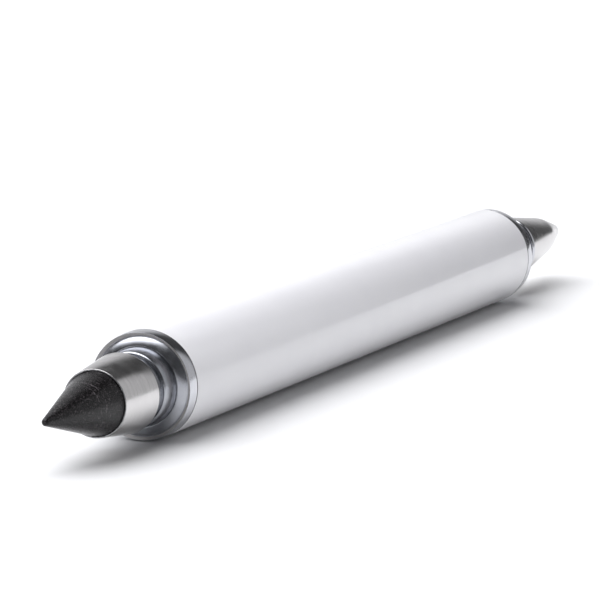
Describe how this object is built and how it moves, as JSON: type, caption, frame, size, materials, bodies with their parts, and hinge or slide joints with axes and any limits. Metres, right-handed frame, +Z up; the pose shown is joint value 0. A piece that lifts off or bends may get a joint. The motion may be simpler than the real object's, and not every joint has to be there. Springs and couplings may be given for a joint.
{
  "type": "technical pen",
  "caption": "Clutch lead holder: gloss white barrel, steel nose cone with a thick sharpened graphite lead, and a conical steel push button.",
  "frame": {"origin": "on the surface the pen lies on, under the middle of its overall length", "axes": "+X along the pen's axis from the lead's point to the push button, +Z up, the barrel rests on z = 0"},
  "size_m": [0.1242, 0.0096, 0.0096],
  "materials": {
    "barrel": "glossy white lacquer",
    "graphite": "sharpened graphite, dull with a faint sheen",
    "turned_steel": "fine turned satin",
    "polished_steel": "mirror polished with a satin rim",
    "black_gasket": "matt black",
    "brass": "machined brass",
    "spring_steel": "blued spring steel",
    "black_rubber": "soft black rubber"
  },
  "bodies": {
    "barrel": {"barrel": "barrel", "nose_cone": "turned_steel", "front_collar": "polished_steel", "rear_collar": "polished_steel", "front_gasket": "black_gasket", "rear_gasket": "black_gasket", "clutch_seat": "brass", "seat_retainer": "spring_steel", "thrust_washer": "spring_steel", "guide_bush": "polished_steel", "stem_ring": "black_rubber"},
    "clutch_rod": {"push_button": "turned_steel", "push_tube": "brass", "tube_plug": "brass", "lead_bumper": "black_rubber", "spring_seat": "brass", "return_spring": "spring_steel", "collet_sleeve": "brass"},
    "jaw_1": {"collet_jaw_1": "brass"},
    "jaw_2": {"collet_jaw_2": "brass"},
    "jaw_3": {"collet_jaw_3": "brass"},
    "lead": {"graphite_lead": "graphite"}
  },
  "joints": [
    {"name": "button_press", "type": "slide", "parent": "barrel", "child": "clutch_rod", "axis": [-1, 0, 0], "range_m": [0, 0.0027], "stiffness_N_per_m": 400, "springref_m": -0.005, "deforming": ["return_spring"]},
    {"name": "jaw_1_open", "type": "hinge", "parent": "clutch_rod", "child": "jaw_1", "pos_m": [-0.02169, 0, 0.00786], "axis": [0, 1, 0], "range_deg": [0, 1.4]},
    {"name": "jaw_2_open", "type": "hinge", "parent": "clutch_rod", "child": "jaw_2", "pos_m": [-0.02169, -0.00265, 0.00327], "axis": [0, -0.5, 0.866], "range_deg": [0, 1.4]},
    {"name": "jaw_3_open", "type": "hinge", "parent": "clutch_rod", "child": "jaw_3", "pos_m": [-0.02169, 0.00265, 0.00327], "axis": [0, -0.5, -0.866], "range_deg": [0, 1.4]},
    {"name": "lead_feed", "type": "slide", "parent": "barrel", "child": "lead", "axis": [-1, 0, 0], "range_m": [-0.0098, 0.02]}
  ],
  "couplings": [
    {"joint": "jaw_1_open", "follows": "button_press", "rad_per_m": 9.04},
    {"joint": "jaw_2_open", "follows": "button_press", "rad_per_m": 9.04},
    {"joint": "jaw_3_open", "follows": "button_press", "rad_per_m": 9.04}
  ]
}
